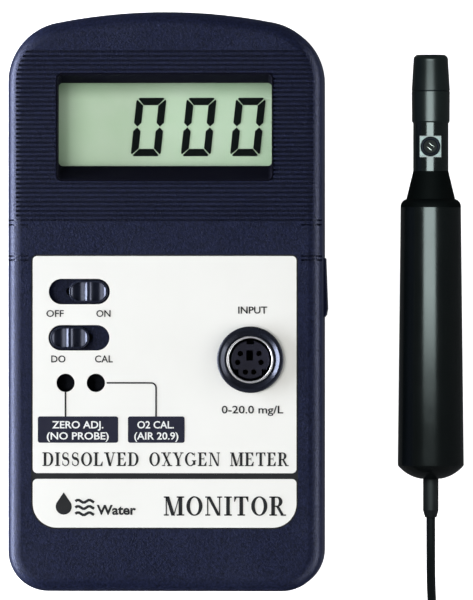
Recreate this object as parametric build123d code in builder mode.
"""Handheld dissolved-oxygen meter with its membrane probe, lead and mini-DIN plug. Millimetres.

The meter lies on its back: +X right, +Y towards its display end, +Z out of its front face.
The origin is the centre of the flat back. The probe lies on the same surface at the meter's
right, with its membrane end towards +Y and its lead leaving towards -Y.
"""

from build123d import *
from math import pi, radians, tan
import os

os.makedirs("parts", exist_ok=True)

# ---------------------------------------------------------------- meter case
case_w = 70.4
case_l = 129.8
case_t = 25.0
crown_r = 125.0
top_corner_r = 13.5
bottom_corner_r = 9.0
front_edge_r = 3.0
back_edge_r = 2.5
wall = 2.2
rear_floor = 3.4
front_skin = 2.4
parting_z = 12.5
inner_z = case_t - front_skin
case_screws_at = [(-29.9, 49.5), (29.9, 49.5), (-29.9, -29.5), (29.9, -29.5)]

# ribbed field around the display, and the two notches in the long edges
rib_pitch = 1.02
rib_count = 38
rib_top_y = 56.0
rib_groove_w = 0.52
rib_groove_depth = 0.8
rib_inset = 1.9
edge_notch_y = (18.2, 17.2, 10.2, 9.3)
edge_notch_w = 0.4
edge_notch_depth = 0.8
side_pad = [(34.7, 10.1), (35.55, 9.7), (35.95, -1.6), (35.7, -3.0), (34.7, -4.2)]

# ---------------------------------------------------------------- display
window_w = 48.8
window_h = 24.3
window_y = 39.1
window_corner_r = 1.4
view_w = 47.8
view_h = 18.6
view_y = 39.7
digit_h = 13.1
digit_w = 6.7
digit_stroke = 1.65
digit_slant = 6.0
digit_x = (-3.8, 7.45, 18.5)
digit_y = view_y - 0.55

# ---------------------------------------------------------------- front panel
label_t = 0.3
label_w = 59.1
label_top = 10.2
label_bottom = -38.4
name_top = -39.7
name_bottom = -50.6
name_corner_r = 5.4
label_corner_r = 1.0
label_gap = 0.35

# ---------------------------------------------------------------- controls
switch_slot = (13.7, 5.7)
switch_floor_z = 23.3
switch_travel = 4.1
power_at = (-19.1, 2.25)
mode_at = (-19.2, -8.1)
knob_size = (8.7, 4.9)
knob_rim = 0.4
stem_size = (1.5, 1.3)
stem_slot = (6.1, 1.9)
trim_hole_r = 2.05
zero_at = (-22.2, -18.2)
span_at = (-15.4, -18.2)

# ---------------------------------------------------------------- input socket, mini-DIN
socket_at = (19.2, -13.0)
socket_flange_r = 7.4
socket_neck_r = 6.1
socket_shell_r = 5.3
socket_shell_bore_r = 4.8
socket_core_r = 4.26
contact_at = [(-2.25, 1.35), (1.95, 1.4), (-2.85, -0.6), (2.4, -0.6), (-1.1, -2.75), (0.75, -2.75)]
contact_r = 0.62

# ---------------------------------------------------------------- electronics
board_z = 14.0
board_t = 1.6
board_top = board_z + board_t
board_screws_at = [(-28.5, 18.0), (28.5, 18.0), (-2.0, -26.0), (0.0, 57.0)]

# ---------------------------------------------------------------- battery bay
battery_size = (46.4, 26.5, 17.5)
battery_low = (-25.8, -61.35, 3.6)
door_half_w = 25.6
door_flange_half_w = 27.0
door_top_y = -33.2
door_gap = 0.15

# ---------------------------------------------------------------- probe, turned about its own axis
probe_x = 59.2
probe_z = 7.45
head_end_y = 55.6
cap_seam_y = 47.5
collar_end_y = 40.3
sleeve_end_y = 29.4
cone_end_y = 23.1
barrel_top_y = 21.2
barrel_end_y = -36.9
tail_end_y = -39.9
relief_end_y = -48.6
cap_r = 4.3
cap_top_r = 3.9
sleeve_r = 3.97
barrel_top_r = 6.8
barrel_end_r = 7.45

# ---------------------------------------------------------------- lead and plug
lead_r = 1.0
lead_length = 1200.0
coil_centre = (45.0, -91.0)
coil_inner_r = 7.05
coil_outer_r = 16.95
coil_z = 0.6
coil_h = 8.0
plug_y = -108.2
plug_z = 6.25
plug_grip_r = 6.25
plug_shell_r = 4.725


def case_outline(inset):
    """Plan outline of the case: straight sides, crowned top, rounded corners."""
    with BuildSketch() as outline:
        Rectangle(case_w, case_l)
        with Locations((0, case_l / 2 - crown_r)):
            Circle(crown_r, mode=Mode.INTERSECT)
        fillet(outline.vertices().group_by(Axis.Y)[-1], top_corner_r)
        fillet(outline.vertices().group_by(Axis.Y)[0], bottom_corner_r)
        if inset:
            offset(amount=-inset)
    return outline.sketch


def label_outline(top, bottom, bottom_r, grow):
    """One front label: square top corners slightly rounded, bottom corners to bottom_r."""
    with BuildSketch() as plate:
        with Locations((0, (top + bottom) / 2)):
            Rectangle(label_w + 2 * grow, top - bottom + 2 * grow)
        fillet(plate.vertices().group_by(Axis.Y)[-1], label_corner_r + grow)
        fillet(plate.vertices().group_by(Axis.Y)[0], bottom_r + grow)
    return plate.sketch


# ================================================================ case shells
# The whole case as one block, for pieces that share its outer surface.
with BuildPart() as case_block:
    with BuildSketch():
        add(case_outline(0))
    extrude(amount=case_t)
    fillet(case_block.faces().sort_by(Axis.Z)[-1].edges(), front_edge_r)
    fillet(case_block.faces().sort_by(Axis.Z)[0].edges(), back_edge_r)

with BuildPart() as rear_case:
    with BuildSketch():
        add(case_outline(0))
    extrude(amount=parting_z)
    fillet(rear_case.faces().sort_by(Axis.Z)[0].edges(), back_edge_r)
    with BuildSketch(Plane.XY.offset(rear_floor)):
        add(case_outline(wall))
    extrude(amount=parting_z - rear_floor, mode=Mode.SUBTRACT)
    # screw bosses and the wall between the electronics and the battery
    with BuildSketch(Plane.XY.offset(rear_floor)):
        with Locations(*case_screws_at):
            Circle(3.4)
        with Locations((0, -33.0)):
            Rectangle(case_w - 2 * wall, 1.4)
    extrude(amount=parting_z - rear_floor)
    # low moulded pad on the right wall
    with BuildSketch(Plane.XY.offset(3.0)):
        with BuildLine():
            Polyline(*side_pad, close=True)
        make_face()
    extrude(amount=parting_z - 3.0)
    # counterbores and clearance holes of the case screws
    with BuildSketch():
        with Locations(*case_screws_at):
            Circle(2.6)
    extrude(amount=6.0, mode=Mode.SUBTRACT)
    with BuildSketch():
        with Locations(*case_screws_at):
            Circle(1.45)
    extrude(amount=parting_z, mode=Mode.SUBTRACT)
    # door track: lips outside, wider flange slot inside, then the bay opening
    bay_end_y = -case_l / 2
    with BuildSketch():
        with Locations((0, (door_top_y + bay_end_y) / 2)):
            Rectangle(2 * door_half_w, door_top_y - bay_end_y)
    extrude(amount=1.2, mode=Mode.SUBTRACT)
    with BuildSketch(Plane.XY.offset(1.2)):
        with Locations((0, (door_top_y + bay_end_y) / 2)):
            Rectangle(2 * door_flange_half_w, door_top_y - bay_end_y)
    extrude(amount=1.2, mode=Mode.SUBTRACT)
    with BuildSketch(Plane.XY.offset(2.4)):
        with Locations((0, -48.1)):
            Rectangle(52.0, 27.6)
    extrude(amount=rear_floor - 2.4, mode=Mode.SUBTRACT)
rear_case.part.label = "rear_case"
export_step(rear_case.part, "parts/rear_case.step")

# A thin rim over the front edges, cut to narrow slabs: the notches.
with BuildPart() as edge_notches:
    for notch_y in edge_notch_y:
        for side in (-1, 1):
            with Locations((side * 33.4, notch_y, case_t)):
                Box(5.6, edge_notch_w, 2 * front_edge_r - 0.4)
    with BuildSketch():
        add(case_outline(edge_notch_depth))
    notch_core = extrude(amount=case_t - edge_notch_depth, mode=Mode.PRIVATE)
    notch_core_rim = notch_core.faces().sort_by(Axis.Z)[-1].edges()
    notch_core = notch_core.fillet(front_edge_r - edge_notch_depth, notch_core_rim)
    add(notch_core, mode=Mode.SUBTRACT)

with BuildPart() as front_case:
    with BuildSketch(Plane.XY.offset(parting_z)):
        add(case_outline(0))
    extrude(amount=case_t - parting_z)
    fillet(front_case.faces().sort_by(Axis.Z)[-1].edges(), front_edge_r)
    with BuildSketch(Plane.XY.offset(parting_z)):
        add(case_outline(wall))
    extrude(amount=inner_z - parting_z, mode=Mode.SUBTRACT)
    # bosses for the case screws, posts for the board
    with BuildSketch(Plane.XY.offset(parting_z)):
        with Locations(*case_screws_at):
            Circle(2.8)
    extrude(amount=inner_z - parting_z)
    with BuildSketch(Plane.XY.offset(board_top)):
        with Locations(*board_screws_at):
            Circle(2.4)
    extrude(amount=inner_z - board_top)
    with BuildSketch(Plane.XY.offset(parting_z)):
        with Locations(*case_screws_at):
            Circle(1.35)
    extrude(amount=8.5, mode=Mode.SUBTRACT)
    with BuildSketch(Plane.XY.offset(board_top)):
        with Locations(*board_screws_at):
            Circle(1.05)
    extrude(amount=5.0, mode=Mode.SUBTRACT)
    # fine ribs across the display end
    with BuildSketch(Plane.XY.offset(case_t - rib_groove_depth)):
        with Locations((0, rib_top_y - (rib_count - 1) * rib_pitch / 2)):
            with GridLocations(1, rib_pitch, 1, rib_count):
                Rectangle(case_w, rib_groove_w)
        add(case_outline(rib_inset), mode=Mode.INTERSECT)
    extrude(amount=1.0, mode=Mode.SUBTRACT)
    add(edge_notches.part, mode=Mode.SUBTRACT)
    # shallow pocket for the two labels
    with BuildSketch(Plane.XY.offset(case_t - label_t)):
        add(label_outline(label_top, name_bottom, name_corner_r, label_gap))
    extrude(amount=1.0, mode=Mode.SUBTRACT)
    # openings: display, switch recesses and stem slots, trimmer holes, socket
    with BuildSketch(Plane.XY.offset(inner_z)):
        with Locations((0, window_y)):
            RectangleRounded(window_w, window_h, window_corner_r)
        with Locations(zero_at, span_at):
            Circle(trim_hole_r)
        with Locations(socket_at):
            Circle(socket_neck_r + 0.1)
        with Locations(power_at, mode_at):
            SlotOverall(*stem_slot)
    extrude(amount=5.0, mode=Mode.SUBTRACT)
    with BuildSketch(Plane.XY.offset(switch_floor_z)):
        with Locations(power_at, mode_at):
            SlotOverall(*switch_slot)
    extrude(amount=5.0, mode=Mode.SUBTRACT)
front_case.part.label = "front_case"
export_step(front_case.part, "parts/front_case.step")

# ================================================================ labels
with BuildPart() as label_plate:
    with BuildSketch(Plane.XY.offset(case_t - label_t)):
        add(label_outline(label_top, label_bottom, label_corner_r, 0))
        with Locations(power_at, mode_at):
            SlotOverall(*switch_slot, mode=Mode.SUBTRACT)
        with Locations(zero_at, span_at):
            Circle(trim_hole_r, mode=Mode.SUBTRACT)
        with Locations(socket_at):
            Circle(socket_flange_r + 0.05, mode=Mode.SUBTRACT)
    extrude(amount=label_t)
label_plate.part.label = "label_plate"
export_step(label_plate.part, "parts/label_plate.step")

with BuildPart() as name_plate:
    with BuildSketch(Plane.XY.offset(case_t - label_t)):
        add(label_outline(name_top, name_bottom, name_corner_r, 0))
    extrude(amount=label_t)
name_plate.part.label = "name_plate"
export_step(name_plate.part, "parts/name_plate.step")

# ================================================================ display
bezel_top = case_t - 0.1
bezel_back = inner_z - 0.8
with BuildPart() as window_bezel:
    with BuildSketch(Plane.XY.offset(inner_z)):
        with Locations((0, window_y)):
            RectangleRounded(window_w - 0.2, window_h - 0.2, window_corner_r)
    extrude(amount=bezel_top - inner_z)
    with BuildSketch(Plane.XY.offset(bezel_back)):
        with Locations((0, window_y)):
            RectangleRounded(window_w + 2.6, window_h + 2.2, window_corner_r)
    extrude(amount=inner_z - bezel_back)
    # the well slopes in above and below the glass
    with BuildSketch(Plane.XY.offset(bezel_back)):
        with Locations((0, view_y)):
            RectangleRounded(view_w, view_h, 0.9)
    with BuildSketch(Plane.XY.offset(bezel_top)):
        with Locations((0, window_y)):
            RectangleRounded(view_w + 0.2, window_h - 0.8, 0.9)
    loft(mode=Mode.SUBTRACT)
window_bezel.part.label = "window_bezel"
export_step(window_bezel.part, "parts/window_bezel.step")

lens_t = 1.0
with BuildPart() as window_lens:
    with BuildSketch(Plane.XY.offset(bezel_back - lens_t)):
        with Locations((0, view_y)):
            RectangleRounded(51.0, 20.8, 0.6)
    extrude(amount=lens_t)
window_lens.part.label = "window_lens"
export_step(window_lens.part, "parts/window_lens.step")

glass_top = bezel_back - lens_t - 0.2
glass_t = 2.0
with BuildPart() as lcd_panel:
    with BuildSketch(Plane.XY.offset(glass_top - glass_t)):
        with Locations((0, view_y)):
            Rectangle(50.0, 22.4)
    extrude(amount=glass_t)
lcd_panel.part.label = "lcd_panel"
export_step(lcd_panel.part, "parts/lcd_panel.step")


def zero_segments(x):
    """Six mitred bars of the digit 0, slanted, with cut outer corners, centred on x."""
    lean = tan(radians(digit_slant))
    half_w = digit_w / 2
    half_h = digit_h / 2
    s = digit_stroke
    gap = 0.1
    cut = 0.7
    top_bar = [(-half_w + cut, half_h), (half_w - cut, half_h),
               (half_w - cut / 2 - gap, half_h - cut / 2 + gap), (half_w - s - gap, half_h - s),
               (-half_w + s + gap, half_h - s), (-half_w + cut / 2 + gap, half_h - cut / 2 + gap)]
    side_bar = [(-half_w + cut / 2 - gap, half_h - cut / 2 - gap), (-half_w + s, half_h - s - gap),
                (-half_w + s, gap + s / 2), (-half_w + s / 2, gap), (-half_w, gap + s / 2),
                (-half_w, half_h - cut)]
    bars = []
    for flip_y in (-1, 1):
        bars.append([(px, flip_y * py) for px, py in top_bar])
        for flip_x in (-1, 1):
            bars.append([(flip_x * px, flip_y * py) for px, py in side_bar])
    return [[(x + px + lean * py, digit_y + py) for px, py in bar] for bar in bars]


with BuildPart() as lcd_segments:
    with BuildSketch(Plane.XY.offset(glass_top)):
        for x in digit_x:
            for bar in zero_segments(x):
                with BuildLine():
                    Polyline(*bar, close=True)
                make_face()
    extrude(amount=0.1)
lcd_segments.part.label = "lcd_segments"
export_step(lcd_segments.part, "parts/lcd_segments.step")

with BuildPart() as lcd_frame:
    with BuildSketch(Plane.XY.offset(board_top)):
        with Locations((0, view_y)):
            RectangleRounded(53.0, 26.0, 1.0)
            Rectangle(50.3, 22.7, mode=Mode.SUBTRACT)
    extrude(amount=glass_top - board_top)
lcd_frame.part.label = "lcd_frame"
export_step(lcd_frame.part, "parts/lcd_frame.step")

with BuildPart() as zebra_strips:
    with BuildSketch(Plane.XY.offset(board_top)):
        with Locations((0, view_y)):
            with GridLocations(1, 19.2, 1, 2):
                Rectangle(46.0, 1.8)
    extrude(amount=glass_top - glass_t - board_top)
zebra_strips.part.label = "zebra_strips"
export_step(zebra_strips.part, "parts/zebra_strips.step")

# ================================================================ board
with BuildPart() as main_board:
    with BuildSketch(Plane.XY.offset(board_z)):
        add(case_outline(wall + 0.8))
        with Locations((0, 14.0)):
            Rectangle(case_w, 90.0, mode=Mode.INTERSECT)
        with Locations(*case_screws_at):
            Circle(3.3, mode=Mode.SUBTRACT)
        with Locations(*board_screws_at):
            Circle(1.1, mode=Mode.SUBTRACT)
    extrude(amount=board_t)
main_board.part.label = "main_board"
export_step(main_board.part, "parts/main_board.step")

chips = [(2.0, 10.0, 12.0, 12.0, 2.2), (20.0, 10.0, 10.0, 6.2, 1.8), (2.0, -8.0, 6.0, 5.0, 2.0)]
with BuildPart() as board_chips:
    for x, y, length, width, height in chips:
        with Locations((x, y, board_top + height / 2)):
            Box(length, width, height)
    chamfer(board_chips.edges().filter_by(Axis.Z), 0.3)
board_chips.part.label = "board_chips"
export_step(board_chips.part, "parts/board_chips.step")

with BuildPart() as board_capacitors:
    with Locations((9.0, -25.0, board_top + 2.7), (15.5, -25.0, board_top + 2.7)):
        Cylinder(2.5, 5.4)
    fillet(board_capacitors.faces().group_by(Axis.Z)[-1].edges(), 0.4)
board_capacitors.part.label = "board_capacitors"
export_step(board_capacitors.part, "parts/board_capacitors.step")

# ================================================================ slide switches
switch_top = inner_z - 0.2
for name, (x, y) in {"power_switch": power_at, "mode_switch": mode_at}.items():
    with BuildPart() as switch_body:
        with BuildSketch(Plane.XY.offset(board_top)):
            with Locations((x, y)):
                Rectangle(13.0, 6.6)
        extrude(amount=switch_top - board_top)
        fillet(switch_body.edges().filter_by(Axis.Z), 0.5)
        with BuildSketch(Plane.XY.offset(20.2)):
            with Locations((x, y)):
                SlotOverall(*stem_slot)
        extrude(amount=5.0, mode=Mode.SUBTRACT)
    switch_body.part.label = name
    export_step(switch_body.part, f"parts/{name}.step")

knob_bottom = switch_floor_z + 0.12
knob_top = 25.0
scoop_r = 2.4
scoop_x = 2.1
scoop_lift = 1.6
power_knob_at = (power_at[0] + switch_travel / 2, power_at[1])
mode_knob_at = (mode_at[0] - switch_travel / 2, mode_at[1])
for name, (x, y) in {"power_knob": power_knob_at, "mode_knob": mode_knob_at}.items():
    # two finger scoops inside the knob's rim, with a ridge between them
    with BuildPart() as scoops:
        with Locations(
            Plane((x - scoop_x, y, knob_top + scoop_lift)),
            Plane((x + scoop_x, y, knob_top + scoop_lift)),
        ):
            Cylinder(scoop_r, knob_size[1], rotation=(90, 0, 0))
        with BuildSketch(Plane.XY.offset(knob_bottom)):
            with Locations((x, y)):
                SlotOverall(knob_size[0] - 2 * knob_rim, knob_size[1] - 2 * knob_rim)
        extrude(amount=4.0, mode=Mode.INTERSECT)
    with BuildPart() as knob:
        with BuildSketch(Plane.XY.offset(knob_bottom)):
            with Locations((x, y)):
                SlotOverall(*knob_size)
        extrude(amount=knob_top - knob_bottom)
        fillet(knob.faces().sort_by(Axis.Z)[-1].edges(), 0.15)
        add(scoops.part, mode=Mode.SUBTRACT)
        # stem down to the switch
        with BuildSketch(Plane.XY.offset(20.6)):
            with Locations((x, y)):
                Rectangle(*stem_size)
        extrude(amount=knob_bottom - 20.6)
    knob.part.label = name
    export_step(knob.part, f"parts/{name}.step")

# ================================================================ trimmers
trimmer_top = 20.7
for name, (x, y) in {"zero_trimmer": zero_at, "span_trimmer": span_at}.items():
    with BuildPart() as trimmer:
        with BuildSketch(Plane.XY.offset(board_top)):
            with Locations((x, y)):
                Rectangle(6.2, 6.2)
        extrude(amount=trimmer_top - board_top)
        chamfer(trimmer.edges().filter_by(Axis.Z), 0.4)
        with BuildSketch(Plane.XY.offset(18.0)):
            with Locations((x, y)):
                Circle(1.05)
        extrude(amount=5.0, mode=Mode.SUBTRACT)
    trimmer.part.label = name
    export_step(trimmer.part, f"parts/{name}.step")

rotor_bottom = trimmer_top + 0.05
for name, (x, y) in {"zero_screw": zero_at, "span_screw": span_at}.items():
    with BuildPart() as rotor:
        with BuildSketch(Plane.XY.offset(rotor_bottom)):
            with Locations((x, y)):
                Circle(1.75)
        extrude(amount=1.1)
        chamfer(rotor.faces().sort_by(Axis.Z)[-1].edges(), 0.15)
        with BuildSketch(Plane.XY.offset(18.3)):
            with Locations((x, y)):
                Circle(1.0)
        extrude(amount=rotor_bottom - 18.3)
        with Locations((x, y, rotor_bottom + 0.95)):
            Box(4.0, 0.55, 0.9, mode=Mode.SUBTRACT)
    rotor.part.label = name
    export_step(rotor.part, f"parts/{name}.step")

# ================================================================ input socket
socket_base = 16.2
pocket_z = case_t - label_t
with BuildPart() as socket_bezel:
    with BuildSketch(Plane.XY.offset(19.0)):
        with Locations(socket_at):
            Circle(socket_neck_r)
    extrude(amount=pocket_z - 19.0)
    with BuildSketch(Plane.XY.offset(pocket_z)):
        with Locations(socket_at):
            Circle(socket_flange_r)
    extrude(amount=1.2)
    fillet(socket_bezel.faces().sort_by(Axis.Z)[-1].edges(), 0.35)
    with BuildSketch(Plane.XY.offset(19.0)):
        with Locations(socket_at):
            Circle(socket_shell_r + 0.05)
    extrude(amount=8.0, mode=Mode.SUBTRACT)
    # dished face falling towards the metal shell
    with BuildSketch(Plane.XY.offset(pocket_z + 0.45)):
        with Locations(socket_at):
            Circle(5.75)
    with BuildSketch(Plane.XY.offset(pocket_z + 1.25)):
        with Locations(socket_at):
            Circle(6.65)
    loft(mode=Mode.SUBTRACT)
socket_bezel.part.label = "socket_bezel"
export_step(socket_bezel.part, "parts/socket_bezel.step")

with BuildPart() as socket_nut:
    with BuildSketch(Plane.XY.offset(inner_z - 2.0)):
        with Locations(socket_at):
            RegularPolygon(8.4, 6)
            Circle(socket_neck_r + 0.05, mode=Mode.SUBTRACT)
    extrude(amount=2.0)
socket_nut.part.label = "socket_nut"
export_step(socket_nut.part, "parts/socket_nut.step")

with BuildPart() as socket_shell:
    with BuildSketch(Plane.XY.offset(socket_base)):
        with Locations(socket_at):
            Circle(socket_shell_r)
            Circle(socket_shell_bore_r, mode=Mode.SUBTRACT)
    extrude(amount=25.3 - socket_base)
    fillet(socket_shell.faces().sort_by(Axis.Z)[-1].edges(), 0.15)
socket_shell.part.label = "socket_shell"
export_step(socket_shell.part, "parts/socket_shell.step")

core_top = 24.5
with BuildPart() as socket_core:
    with BuildSketch(Plane.XY.offset(socket_base)):
        with Locations(socket_at):
            Circle(socket_core_r)
    extrude(amount=core_top - socket_base)
    fillet(socket_core.faces().sort_by(Axis.Z)[-1].edges(), 0.2)
    with BuildSketch(Plane.XY.offset(socket_base)):
        with Locations(socket_at):
            Circle(socket_shell_bore_r - 0.02)
    extrude(amount=1.4)
    # contact holes go right through; the key and the rim notches are blind
    with BuildSketch(Plane.XY.offset(socket_base)):
        with Locations(socket_at):
            with Locations(*contact_at):
                Circle(contact_r)
    extrude(amount=10.0, mode=Mode.SUBTRACT)
    with BuildSketch(Plane.XY.offset(core_top - 5.5)):
        with Locations(socket_at):
            with Locations((-0.15, 0.95)):
                Rectangle(1.5, 2.3)
            with Locations((0.0, 4.2), (-3.5, -2.9), (3.4, -2.9)):
                Rectangle(1.7, 1.5)
    extrude(amount=10.0, mode=Mode.SUBTRACT)
socket_core.part.label = "socket_core"
export_step(socket_core.part, "parts/socket_core.step")

with BuildPart() as socket_contacts:
    with BuildSketch(Plane.XY.offset(board_top)):
        with Locations(socket_at):
            with Locations(*contact_at):
                Circle(contact_r - 0.02)
    extrude(amount=core_top - 2.5 - board_top)
    with BuildSketch(Plane.XY.offset(socket_base + 1.0)):
        with Locations(socket_at):
            with Locations(*contact_at):
                Circle(contact_r - 0.2)
    extrude(amount=10.0, mode=Mode.SUBTRACT)
socket_contacts.part.label = "socket_contacts"
export_step(socket_contacts.part, "parts/socket_contacts.step")

# ================================================================ battery, snap, leads and door
battery_end_x = battery_low[0] + battery_size[0]
battery_y = battery_low[1] + battery_size[1] / 2
battery_mid_z = battery_low[2] + battery_size[2] / 2
terminal_pitch = 12.7
with BuildPart() as battery:
    with Locations((battery_low[0] + battery_size[0] / 2, battery_y, battery_mid_z)):
        Box(*battery_size)
    fillet(battery.edges().filter_by(Axis.X), 1.6)
    fillet(battery.faces().group_by(Axis.X)[-1].edges(), 0.4)
    with BuildSketch(Plane.YZ.offset(battery_end_x)):
        with Locations((battery_y - terminal_pitch / 2, battery_mid_z)):
            Circle(2.9)
        with Locations((battery_y + terminal_pitch / 2, battery_mid_z)):
            RegularPolygon(3.9, 6)
    extrude(amount=2.1)
battery.part.label = "battery"
export_step(battery.part, "parts/battery.step")

snap_x = battery_end_x + 2.15
with BuildPart() as battery_snap:
    with Locations((snap_x + 1.5, battery_y, battery_mid_z)):
        Box(3.0, 22.0, 12.0)
    fillet(battery_snap.edges().filter_by(Axis.X), 1.5)
battery_snap.part.label = "battery_snap"
export_step(battery_snap.part, "parts/battery_snap.step")

snap_face_x = snap_x + 3.0
lead_routes = {
    "battery_lead_red": [
        (snap_face_x, -44.0, 16.0),
        (29.6, -44.0, 16.0),
        (27.5, -37.0, 18.0),
        (24.5, -28.5, 18.3),
        (24.5, -28.5, board_top),
    ],
    "battery_lead_black": [
        (snap_face_x, -52.0, 16.5),
        (29.8, -52.0, 16.5),
        (29.5, -39.0, 20.3),
        (21.0, -28.0, 20.5),
        (21.0, -28.0, board_top),
    ],
}
for name, route in lead_routes.items():
    with BuildPart() as battery_lead:
        with BuildLine() as lead_path:
            FilletPolyline(*route, radius=1.4)
        with BuildSketch(Plane(lead_path.line @ 0, z_dir=lead_path.line % 0)):
            Circle(0.65)
        sweep()
    battery_lead.part.label = name
    export_step(battery_lead.part, f"parts/{name}.step")

door_inner_z = 2.3
with BuildPart() as battery_door:
    door_l = door_top_y - door_gap - bay_end_y
    with BuildSketch(Plane.XY.offset(0.1)):
        with Locations((0, bay_end_y + door_l / 2)):
            Rectangle(2 * (door_half_w - door_gap), door_l)
    extrude(amount=door_inner_z - 0.1)
    with BuildSketch(Plane.XY.offset(1.3)):
        with Locations((0, bay_end_y + door_l / 2)):
            Rectangle(2 * (door_flange_half_w - door_gap), door_l)
    extrude(amount=door_inner_z - 1.3)
    add(case_block.part, mode=Mode.INTERSECT)
    # thumb grip: a dished pad with cross ribs
    with BuildSketch(Plane.XY.offset(0.1)):
        with Locations((0, -41.0)):
            with GridLocations(1, 1.6, 1, 6):
                SlotOverall(16.0, 0.8)
    extrude(amount=0.5, mode=Mode.SUBTRACT)
battery_door.part.label = "battery_door"
export_step(battery_door.part, "parts/battery_door.step")

# ================================================================ screws
with BuildPart() as case_screws:
    with BuildSketch(Plane.XY.offset(3.9)):
        with Locations(*case_screws_at):
            Circle(2.35)
    extrude(amount=2.1)
    with BuildSketch(Plane.XY.offset(6.0)):
        with Locations(*case_screws_at):
            Circle(1.3)
    extrude(amount=14.0)
    for x, y in case_screws_at:
        with Locations((x, y, 4.4)):
            Box(3.2, 0.7, 1.0, mode=Mode.SUBTRACT)
            Box(0.7, 3.2, 1.0, mode=Mode.SUBTRACT)
case_screws.part.label = "case_screws"
export_step(case_screws.part, "parts/case_screws.step")

with BuildPart() as board_screws:
    with BuildSketch(Plane.XY.offset(board_z - 1.4)):
        with Locations(*board_screws_at):
            Circle(1.9)
    extrude(amount=1.4)
    with BuildSketch(Plane.XY.offset(board_z)):
        with Locations(*board_screws_at):
            Circle(1.0)
    extrude(amount=6.0)
    for x, y in board_screws_at:
        with Locations((x, y, board_z - 1.1)):
            Box(2.6, 0.5, 0.6, mode=Mode.SUBTRACT)
            Box(0.5, 2.6, 0.6, mode=Mode.SUBTRACT)
board_screws.part.label = "board_screws"
export_step(board_screws.part, "parts/board_screws.step")

# ================================================================ probe
# Half sections are drawn as (radius, y) beside the probe's axis and revolved about it.
probe_axis = Axis((probe_x, 0, probe_z), (0, 1, 0))
probe_section = Plane(origin=(probe_x, 0, probe_z), x_dir=(1, 0, 0), z_dir=(0, 0, 1))

with BuildPart() as handle_barrel:
    with BuildSketch(probe_section):
        with BuildLine():
            Polyline(
                (5.6, barrel_top_y),
                (barrel_top_r, barrel_top_y),
                (barrel_end_r, barrel_end_y),
                (5.6, barrel_end_y),
                close=True,
            )
        make_face()
    revolve(axis=probe_axis)
handle_barrel.part.label = "handle_barrel"
export_step(handle_barrel.part, "parts/handle_barrel.step")

with BuildPart() as tail_cap:
    with BuildSketch(probe_section):
        with BuildLine():
            ThreePointArc((barrel_end_r, barrel_end_y), (5.2, -38.85), (2.4, tail_end_y))
            Polyline(
                (2.4, tail_end_y),
                (1.8, tail_end_y),
                (1.8, -38.0),
                (4.2, -38.0),
                (4.2, -31.0),
                (5.5, -31.0),
                (5.5, barrel_end_y),
                (barrel_end_r, barrel_end_y),
            )
        make_face()
    revolve(axis=probe_axis)
tail_cap.part.label = "tail_cap"
export_step(tail_cap.part, "parts/tail_cap.step")

with BuildPart() as strain_relief:
    with BuildSketch(probe_section):
        with BuildLine():
            Polyline(
                (0, -36.8),
                (2.6, -36.8),
                (2.6, -38.0),
                (1.75, -38.0),
                (1.75, -47.0),
                (1.3, relief_end_y),
                (0, relief_end_y),
                close=True,
            )
        make_face()
    revolve(axis=probe_axis)
strain_relief.part.label = "strain_relief"
export_step(strain_relief.part, "parts/strain_relief.step")

with BuildPart() as nose_cone:
    with BuildSketch(probe_section):
        with BuildLine():
            Line((sleeve_r, sleeve_end_y), (5.5, cone_end_y))
            ThreePointArc((5.5, cone_end_y), (6.5, 22.4), (barrel_top_r, barrel_top_y))
            Polyline(
                (barrel_top_r, barrel_top_y),
                (5.5, barrel_top_y),
                (5.5, 15.5),
                (3.25, 15.5),
                (3.25, sleeve_end_y),
                (sleeve_r, sleeve_end_y),
            )
        make_face()
    revolve(axis=probe_axis)
nose_cone.part.label = "nose_cone"
export_step(nose_cone.part, "parts/nose_cone.step")

sensor_y = 34.9
flat_z = probe_z + 3.15
with BuildPart() as sensor_sleeve:
    with BuildSketch(probe_section):
        with BuildLine():
            Polyline(
                (2.5, collar_end_y),
                (sleeve_r, collar_end_y),
                (sleeve_r, sleeve_end_y),
                (3.2, sleeve_end_y),
                (3.2, 24.0),
                (2.5, 24.0),
                close=True,
            )
        make_face()
    revolve(axis=probe_axis)
    # flat and hole for the temperature sensor
    with Locations((probe_x, sensor_y, flat_z + 1.0)):
        Box(5.2, 4.8, 2.0, mode=Mode.SUBTRACT)
    with BuildSketch(Plane((probe_x, sensor_y, probe_z))):
        Circle(1.25)
    extrude(amount=6.0, mode=Mode.SUBTRACT)
sensor_sleeve.part.label = "sensor_sleeve"
export_step(sensor_sleeve.part, "parts/sensor_sleeve.step")

with BuildPart() as sensor_gasket:
    with BuildSketch(Plane((probe_x, sensor_y, flat_z))):
        RectangleRounded(4.6, 4.2, 0.5)
        Circle(1.25, mode=Mode.SUBTRACT)
    extrude(amount=0.2)
sensor_gasket.part.label = "sensor_gasket"
export_step(sensor_gasket.part, "parts/sensor_gasket.step")

with BuildPart() as temperature_sensor:
    with BuildSketch(Plane((probe_x, sensor_y, flat_z + 0.2))):
        Circle(2.0)
    extrude(amount=0.7)
    chamfer(temperature_sensor.faces().sort_by(Axis.Z)[-1].edges(), 0.2)
    with BuildSketch(Plane((probe_x, sensor_y, flat_z - 1.4))):
        Circle(1.2)
    extrude(amount=1.6)
    with Locations((probe_x, sensor_y, flat_z + 0.85)):
        Box(3.0, 0.6, 0.5, rotation=(0, 0, 35), mode=Mode.SUBTRACT)
temperature_sensor.part.label = "temperature_sensor"
export_step(temperature_sensor.part, "parts/temperature_sensor.step")

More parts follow.
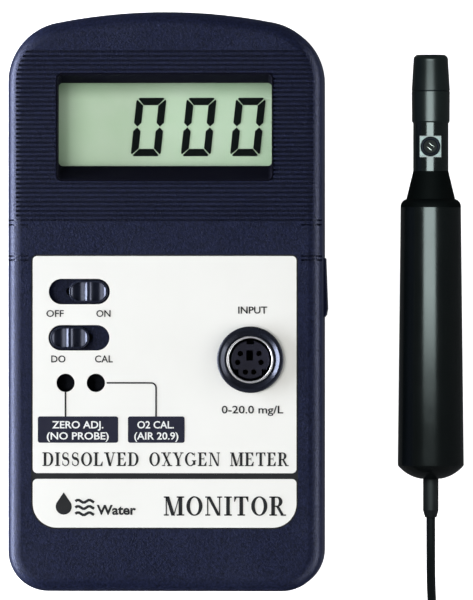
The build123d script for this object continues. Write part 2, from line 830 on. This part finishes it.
spigot_r = 3.25
with BuildPart() as sensor_collar:
    with BuildSketch(probe_section):
        with BuildLine():
            Polyline(
                (2.1, collar_end_y),
                (cap_r - 0.2, collar_end_y),
                (cap_r - 0.05, collar_end_y + 0.3),
                (cap_r, cap_seam_y - 0.2),
                (cap_r - 0.1, cap_seam_y - 0.1),
                (spigot_r, cap_seam_y - 0.1),
                (spigot_r, 51.4),
                (2.1, 51.4),
                close=True,
            )
        make_face()
    revolve(axis=probe_axis)
sensor_collar.part.label = "sensor_collar"
export_step(sensor_collar.part, "parts/sensor_collar.step")

with BuildPart() as electrode_stem:
    with BuildSketch(probe_section):
        with BuildLine():
            Polyline(
                (0, 38.0),
                (2.0, 38.0),
                (2.0, 53.7),
                (1.5, 54.2),
                (0.8, 54.2),
                (0.8, 53.5),
                (0, 53.5),
                close=True,
            )
        make_face()
    revolve(axis=probe_axis)
electrode_stem.part.label = "electrode_stem"
export_step(electrode_stem.part, "parts/electrode_stem.step")

with BuildPart() as cathode:
    with BuildSketch(probe_section):
        with Locations((0.39, 53.87)):
            Rectangle(0.78, 0.72)
    revolve(axis=probe_axis)
cathode.part.label = "cathode"
export_step(cathode.part, "parts/cathode.step")

with BuildPart() as anode:
    with BuildSketch(probe_section):
        with Locations((2.27, 52.5)):
            Rectangle(0.5, 1.8)
    revolve(axis=probe_axis)
anode.part.label = "anode"
export_step(anode.part, "parts/anode.step")

with BuildPart() as membrane_o_ring:
    with BuildSketch(probe_section):
        with Locations((3.6, cap_seam_y + 0.36)):
            Circle(0.31)
    revolve(axis=probe_axis)
membrane_o_ring.part.label = "membrane_o_ring"
export_step(membrane_o_ring.part, "parts/membrane_o_ring.step")

with BuildPart() as membrane_cap:
    with BuildSketch(probe_section):
        with BuildLine():
            Polyline(
                (cap_top_r, head_end_y - 1.3),
                (cap_r, cap_seam_y + 0.1),
                (cap_r - 0.1, cap_seam_y),
                (3.95, cap_seam_y),
                (3.95, cap_seam_y + 0.9),
                (3.35, cap_seam_y + 0.9),
                (3.35, head_end_y - 1.0),
                (2.1, head_end_y - 1.0),
                (2.3, head_end_y),
                (cap_top_r - 0.8, head_end_y),
            )
            ThreePointArc(
                (cap_top_r - 0.8, head_end_y),
                (cap_top_r - 0.25, head_end_y - 0.4),
                (cap_top_r, head_end_y - 1.3),
            )
        make_face()
    revolve(axis=probe_axis)
membrane_cap.part.label = "membrane_cap"
export_step(membrane_cap.part, "parts/membrane_cap.step")

with BuildPart() as membrane:
    with BuildSketch(probe_section):
        with Locations((1.6, head_end_y - 1.1)):
            Rectangle(3.2, 0.2)
    revolve(axis=probe_axis)
membrane.part.label = "membrane"
export_step(membrane.part, "parts/membrane.step")

terminal_top_y = 12.0
terminal_end_y = -12.0
with BuildPart() as terminal_board:
    with Locations((probe_x, 0, probe_z)):
        Box(8.0, terminal_top_y - terminal_end_y, 1.2)
terminal_board.part.label = "terminal_board"
export_step(terminal_board.part, "parts/terminal_board.step")

with BuildPart() as probe_leads:
    with BuildSketch(Plane.XZ.offset(-terminal_top_y)):
        with Locations((probe_x - 1.0, probe_z), (probe_x, probe_z), (probe_x + 1.0, probe_z)):
            Circle(0.35)
    extrude(amount=-(38.0 - terminal_top_y))
    with BuildSketch(Plane.XZ.offset(-terminal_end_y)):
        with Locations((probe_x - 1.0, probe_z), (probe_x, probe_z), (probe_x + 1.0, probe_z)):
            Circle(0.35)
    extrude(amount=terminal_end_y + 36.8)
probe_leads.part.label = "probe_leads"
export_step(probe_leads.part, "parts/probe_leads.step")

# ================================================================ lead
# Route points chosen by hand: straight out of the sleeve, down to the surface, into the coil.
lead_route = [
    (59.2, -48.6, 7.45),
    (59.2, -56.2, 7.2),
    (59.2, -64.4, 4.6),
    (59.6, -73.2, 2.0),
    (60.5, -82.0, 1.6),
    (60.9, -89.5, 1.6),
]
tail_route = [
    (48.2, -106.5, 7.2),
    (43.2, -107.1, 7.1),
    (38.6, -108.0, 6.5),
    (34.0, -108.2, 6.25),
]


def lead_tube_radii(route):
    """Radius at each inner point: 0.45 of the shorter run over the tangent of half the turn."""
    points = [Vector(*p) for p in route]
    runs = [b - a for a, b in zip(points, points[1:])]
    radii = []
    for run, following in zip(runs, runs[1:]):
        half_turn = radians(run.get_angle(following)) / 2
        radii.append(0.45 * min(run.length, following.length) / tan(half_turn))
    return radii


tube_lengths = {}
for name, route in {"cord_tube": lead_route, "cord_tail": tail_route}.items():
    radii = lead_tube_radii(route)
    with BuildPart() as cord:
        with BuildLine() as cord_path:
            FilletPolyline(*route, radius=radii)
        with BuildSketch(Plane(cord_path.line @ 0, z_dir=cord_path.line % 0)):
            Circle(lead_r)
        sweep()
    length = cord_path.wires()[0].length
    tube_lengths[name] = length
    fill = cord.part.volume / (pi * lead_r**2 * length)
    print(name, "radii", [round(r, 1) for r in radii], "length", round(length, 2))
    print(name, "volume over section times length", round(fill, 4))
    cord.part.label = name
    export_step(cord.part, f"parts/{name}.step")

coiled = lead_length - sum(tube_lengths.values())
coil_mean_r = (coil_inner_r + coil_outer_r) / 2
print("coiled length", round(coiled, 1), "turns", round(coiled / (2 * pi * coil_mean_r), 2))

with BuildPart() as cord_coil:
    with BuildSketch(Plane.XY.offset(coil_z)):
        with Locations(coil_centre):
            Circle(coil_outer_r)
            Circle(coil_inner_r, mode=Mode.SUBTRACT)
    extrude(amount=coil_h)
    fillet(cord_coil.edges(), 0.9)
cord_coil.part.label = "cord_coil"
export_step(cord_coil.part, "parts/cord_coil.step")

tie_t = 0.5
tie_clear = 0.1
tie_w = coil_outer_r - coil_inner_r + 2 * tie_clear + 0.35
tie_x = coil_centre[0] - coil_mean_r + 0.15
with BuildPart() as coil_tie:
    with BuildSketch(Plane.XZ.offset(-coil_centre[1] - 2.0)):
        with Locations((tie_x, coil_z + coil_h / 2)):
            RectangleRounded(tie_w + 2 * tie_t, coil_h + 2 * tie_clear + 2 * tie_t, 0.9)
            RectangleRounded(tie_w, coil_h + 2 * tie_clear, 0.5, mode=Mode.SUBTRACT)
    extrude(amount=4.0)
coil_tie.part.label = "coil_tie"
export_step(coil_tie.part, "parts/coil_tie.step")

# ================================================================ plug, turned about an X axis
plug_axis = Axis((0, plug_y, plug_z), (1, 0, 0))
plug_section = Plane(origin=(0, plug_y, plug_z), x_dir=(1, 0, 0), z_dir=(0, 0, 1))
plug_tail_x = 34.0
grip_back_x = 22.0
grip_front_x = -6.0
shell_end_x = -15.0

with BuildPart() as plug_strain_relief:
    with BuildSketch(plug_section):
        with BuildLine():
            Polyline(
                (plug_tail_x, 0),
                (plug_tail_x, 1.4),
                (grip_back_x, 2.9),
                (grip_back_x - 1.5, 2.9),
                (grip_back_x - 1.5, 0),
                close=True,
            )
        make_face()
    revolve(axis=plug_axis)
    for ring in range(5):
        ring_x = grip_back_x + 1.6 + 2.1 * ring
        with BuildSketch(plug_section):
            with Locations((ring_x, 2.95 - 0.125 * (ring_x - grip_back_x))):
                Rectangle(0.8, 0.9)
        revolve(axis=plug_axis, mode=Mode.SUBTRACT)
plug_strain_relief.part.label = "plug_strain_relief"
export_step(plug_strain_relief.part, "parts/plug_strain_relief.step")

with BuildPart() as plug_grip:
    with BuildSketch(plug_section):
        with BuildLine():
            Polyline(
                (grip_back_x, 2.95),
                (grip_back_x, 4.3),
                (grip_back_x - 1.6, 5.6),
                (grip_back_x - 6.0, plug_grip_r),
                (grip_front_x + 0.8, plug_grip_r),
                (grip_front_x, plug_grip_r - 0.8),
                (grip_front_x, 0),
                (grip_back_x - 1.5, 0),
                (grip_back_x - 1.5, 2.95),
                close=True,
            )
        make_face()
    revolve(axis=plug_axis)
    for groove in range(6):
        with BuildSketch(plug_section):
            with Locations((grip_back_x - 9.0 - 1.8 * groove, plug_grip_r)):
                Rectangle(0.8, 0.9)
        revolve(axis=plug_axis, mode=Mode.SUBTRACT)
plug_grip.part.label = "plug_grip"
export_step(plug_grip.part, "parts/plug_grip.step")

with BuildPart() as plug_shell:
    with BuildSketch(plug_section):
        with Locations(((grip_front_x + shell_end_x) / 2, plug_shell_r - 0.19)):
            Rectangle(grip_front_x - shell_end_x, 0.38)
    revolve(axis=plug_axis)
plug_shell.part.label = "plug_shell"
export_step(plug_shell.part, "parts/plug_shell.step")

insert_front_x = grip_front_x - 2.2
plug_face = Plane(origin=(insert_front_x, plug_y, plug_z), x_dir=(0, 1, 0), z_dir=(-1, 0, 0))
with BuildPart() as plug_insert:
    with BuildSketch(Plane(origin=(grip_front_x, plug_y, plug_z), x_dir=(0, 1, 0), z_dir=(-1, 0, 0))):
        Circle(4.32)
    extrude(amount=grip_front_x - insert_front_x)
    # polarising key between the pins
    with BuildSketch(plug_face):
        with Locations((-0.15, 0.95)):
            Rectangle(1.3, 2.1)
    extrude(amount=4.8)
    with BuildSketch(plug_face):
        with Locations(*contact_at):
            Circle(0.42)
    extrude(amount=-1.5, mode=Mode.SUBTRACT)
plug_insert.part.label = "plug_insert"
export_step(plug_insert.part, "parts/plug_insert.step")

with BuildPart() as plug_pins:
    with BuildSketch(plug_face.offset(-1.5)):
        with Locations(*contact_at):
            Circle(0.4)
    extrude(amount=7.3)
    fillet(plug_pins.faces().group_by(Axis.X)[0].edges(), 0.2)
plug_pins.part.label = "plug_pins"
export_step(plug_pins.part, "parts/plug_pins.step")
